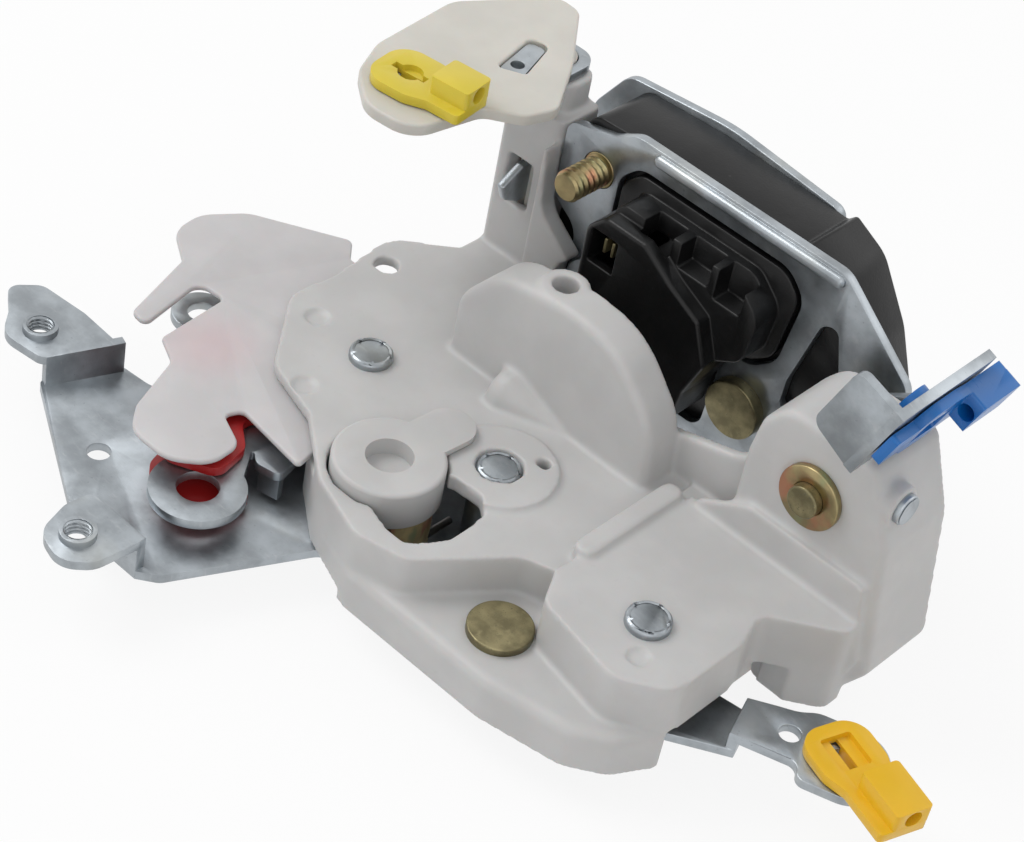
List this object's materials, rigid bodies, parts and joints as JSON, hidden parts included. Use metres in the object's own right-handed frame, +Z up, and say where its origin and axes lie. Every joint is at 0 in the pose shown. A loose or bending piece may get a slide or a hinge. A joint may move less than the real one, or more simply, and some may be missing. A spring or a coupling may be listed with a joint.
{
  "type": "door latch actuator",
  "caption": "Side-door latch with rotary fork, sheet-metal bracket, moulded lever housing, lock and handle levers, rod clips and a small connector socket.",
  "frame": {"origin": "centre of the upper left screw hole, on the outer face of the latch's face plate", "axes": "+X along the latch face, +Y out of the face plate, +Z up out of the housing's flat top"},
  "size_m": [0.187, 0.1298, 0.0746],
  "materials": {
    "housing_nylon": "satin natural white nylon",
    "lever_nylon": "thin translucent natural nylon",
    "red_nylon": "red nylon",
    "cream_nylon": "natural nylon, slightly yellowed",
    "zinc": "bright zinc-plated steel sheet",
    "chromate": "yellow chromated zinc",
    "brass_plate": "dull yellow chromated pin",
    "black_nylon": "black glass-filled nylon",
    "spring_steel": "oiled spring wire",
    "contact_brass": "tinned contact brass",
    "bumper_rubber": "rubber",
    "yellow_clip": "yellow acetal",
    "lemon_clip": "lemon yellow acetal",
    "blue_clip": "blue acetal"
  },
  "bodies": {
    "latch": {"main_housing": "housing_nylon", "base_plate": "zinc", "main_pivot_rivet": "zinc", "plate_rivet": "zinc", "lower_lever_rivet": "zinc", "release_pivot_pin": "brass_plate", "side_rivet": "zinc", "handle_pivot_pin": "brass_plate", "handle_washer": "chromate", "hub_sleeve": "chromate", "hub_spring": "spring_steel", "back_plate": "zinc", "latch_body": "black_nylon", "face_plate": "zinc", "rear_cover": "black_nylon", "switch_terminals": "contact_brass", "fork_pivot_pin": "zinc", "pawl_pivot_pin": "brass_plate", "threaded_stud": "chromate", "striker_bumper": "bumper_rubber", "fork_spring": "spring_steel", "pawl_spring": "spring_steel"},
    "fork": {"fork_bolt": "zinc"},
    "pawl_arm": {"pawl": "zinc"},
    "lock_plate_arm": {"lock_plate": "lever_nylon"},
    "lock_lever_arm": {"lock_lever": "red_nylon"},
    "inside_handle_arm": {"inside_handle_lever": "zinc"},
    "knob_arm": {"knob_lever": "zinc"},
    "hub_arm": {"hub_lever": "housing_nylon"},
    "release_arm": {"release_lever": "zinc"},
    "lower_arm": {"lower_lever": "zinc"},
    "lower_clip": {"lower_rod_clip": "yellow_clip"},
    "key_arm": {"key_lever": "cream_nylon", "key_link": "zinc", "key_tab": "zinc"},
    "key_clip": {"key_rod_clip": "lemon_clip"},
    "outside_handle_arm": {"outside_handle_lever": "zinc"},
    "outside_clip": {"outside_rod_clip": "blue_clip"}
  },
  "joints": [
    {"name": "fork_turn", "type": "hinge", "parent": "latch", "child": "fork", "pos_m": [0.006, -0.0066, -0.0265], "axis": [0, -1, 0], "range_deg": [0, 50], "stiffness_Nm_per_rad": 0.12, "springref_deg": -22.92},
    {"name": "outside_handle_turn", "type": "hinge", "parent": "latch", "child": "outside_handle_arm", "pos_m": [0.074, -0.0228, -0.0141], "axis": [0, 1, 0], "range_deg": [0, 9], "stiffness_Nm_per_rad": 0.4, "springref_deg": -11.46},
    {"name": "pawl_turn", "type": "hinge", "parent": "latch", "child": "pawl_arm", "pos_m": [0.0425, -0.0066, -0.03], "axis": [0, -1, 0], "range_deg": [0, 14.4]},
    {"name": "lock_plate_turn", "type": "hinge", "parent": "latch", "child": "lock_plate_arm", "pos_m": [-0.008, -0.0596, -0.0363], "axis": [0, 0, 1], "range_deg": [-14, 0]},
    {"name": "lock_lever_turn", "type": "hinge", "parent": "latch", "child": "lock_lever_arm", "pos_m": [-0.008, -0.0596, -0.0386], "axis": [0, 0, 1], "range_deg": [-14, 0]},
    {"name": "knob_lever_turn", "type": "hinge", "parent": "latch", "child": "knob_arm", "pos_m": [-0.008, -0.0596, -0.043], "axis": [0, 0, 1], "range_deg": [-14, 0]},
    {"name": "key_lever_turn", "type": "hinge", "parent": "latch", "child": "key_arm", "pos_m": [-0.0148, -0.0126, 0.0115], "axis": [0, 0, 1], "range_deg": [-12.6, 0]},
    {"name": "inside_handle_turn", "type": "hinge", "parent": "latch", "child": "inside_handle_arm", "pos_m": [-0.008, -0.0596, -0.0408], "axis": [0, 0, -1], "range_deg": [0, 18], "stiffness_Nm_per_rad": 0.2, "springref_deg": -11.46},
    {"name": "release_lever_turn", "type": "hinge", "parent": "latch", "child": "release_arm", "pos_m": [0.0481, -0.0835, -0.0462], "axis": [0, 0, -1], "range_deg": [0, 14.4]},
    {"name": "hub_lever_turn", "type": "hinge", "parent": "latch", "child": "hub_arm", "pos_m": [0.014, -0.0771, -0.0325], "axis": [0, 0, 1], "range_deg": [0, 14], "stiffness_Nm_per_rad": 0.3, "springref_deg": -11.46},
    {"name": "lower_lever_turn", "type": "hinge", "parent": "latch", "child": "lower_arm", "pos_m": [0.0676, -0.0711, -0.0462], "axis": [0, 0, 1], "range_deg": [-8, 8]},
    {"name": "lower_clip_turn", "type": "hinge", "parent": "lower_arm", "child": "lower_clip", "pos_m": [0.10225, -0.05869, -0.0419], "axis": [0, 0, 1], "range_deg": [-25, 25]},
    {"name": "key_clip_turn", "type": "hinge", "parent": "key_arm", "child": "key_clip", "pos_m": [-0.0218, -0.0445, 0.0126], "axis": [0, 0, 1], "range_deg": [-25, 25]},
    {"name": "outside_clip_turn", "type": "hinge", "parent": "outside_handle_arm", "child": "outside_clip", "pos_m": [0.08505, -0.0356, 0.00823], "axis": [0.9348, 0, -0.3551], "range_deg": [-12, 12]}
  ],
  "couplings": [
    {"joint": "pawl_turn", "follows": "outside_handle_turn", "ratio": 1.6},
    {"joint": "lock_lever_turn", "follows": "lock_plate_turn", "ratio": 1},
    {"joint": "knob_lever_turn", "follows": "lock_plate_turn", "ratio": 1},
    {"joint": "key_lever_turn", "follows": "lock_plate_turn", "ratio": 0.9},
    {"joint": "release_lever_turn", "follows": "inside_handle_turn", "ratio": 0.8}
  ]
}
